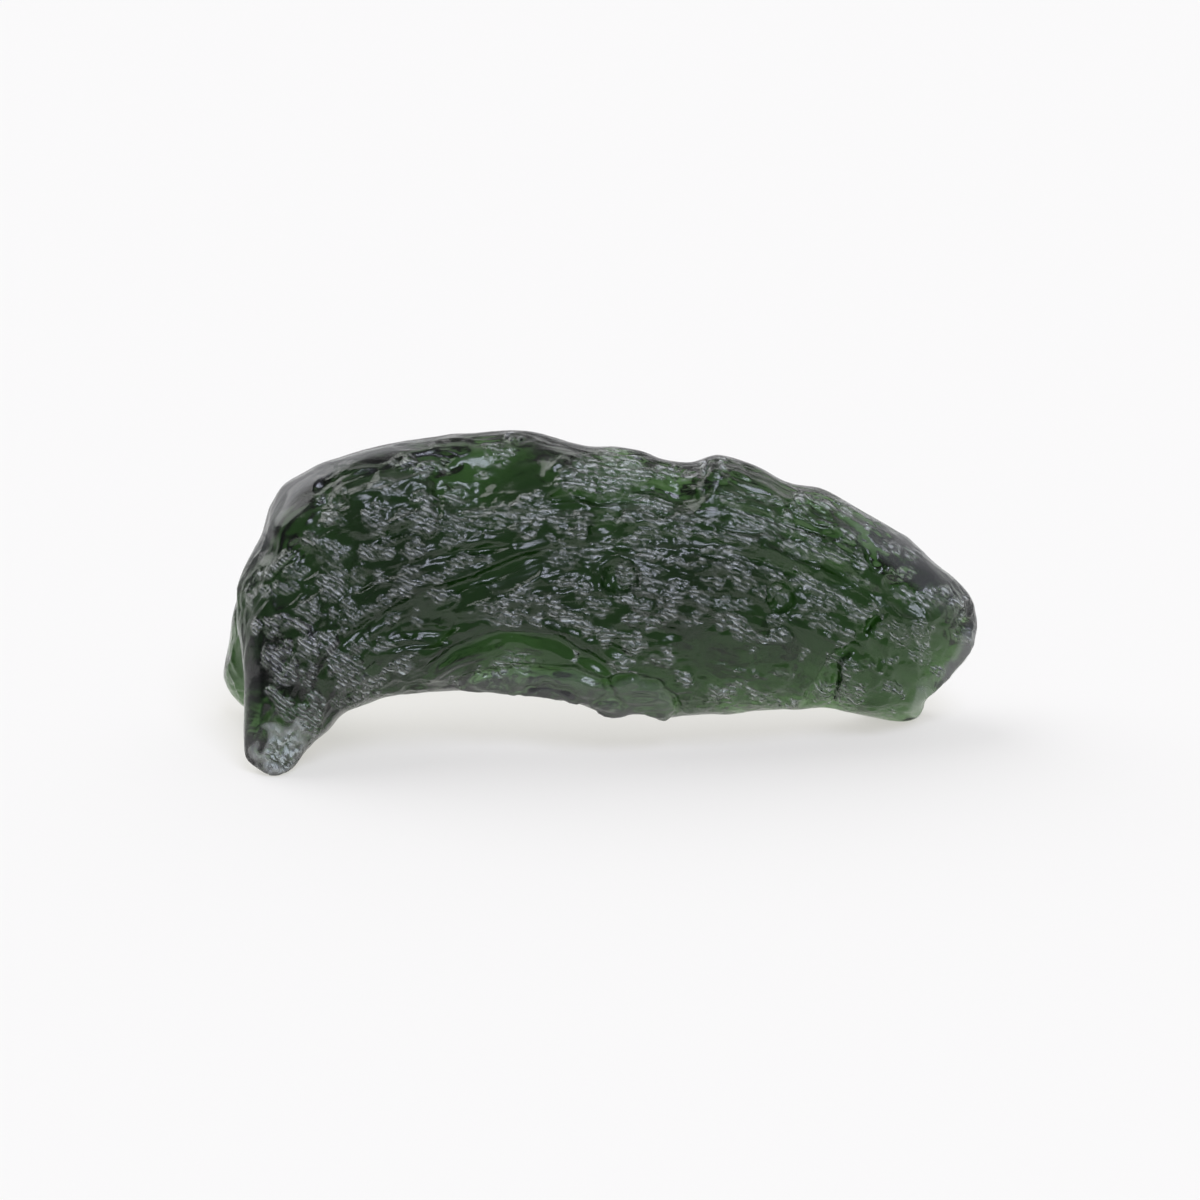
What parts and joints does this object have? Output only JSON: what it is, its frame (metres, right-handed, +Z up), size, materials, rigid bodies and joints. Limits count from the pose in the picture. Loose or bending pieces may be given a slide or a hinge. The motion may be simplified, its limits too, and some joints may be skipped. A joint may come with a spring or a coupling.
{
  "type": "moldavite",
  "caption": "Bent, sculptured piece of translucent green natural glass, a raw tektite, that stands on three small flat spots.",
  "frame": {"origin": "on the ground, at the middle of the bounding box", "axes": "+Z up; +X along the stone, from its front foot to its right foot; +Y from its broad front face towards its back"},
  "size_m": [0.034, 0.0098, 0.0137],
  "materials": {
    "moldavite_glass": "dark bottle-green glass, etched and furrowed, glossy in its hollows and duller on its wrinkles"
  },
  "bodies": {
    "root": {"moldavite": "moldavite_glass"}
  },
  "joints": []
}
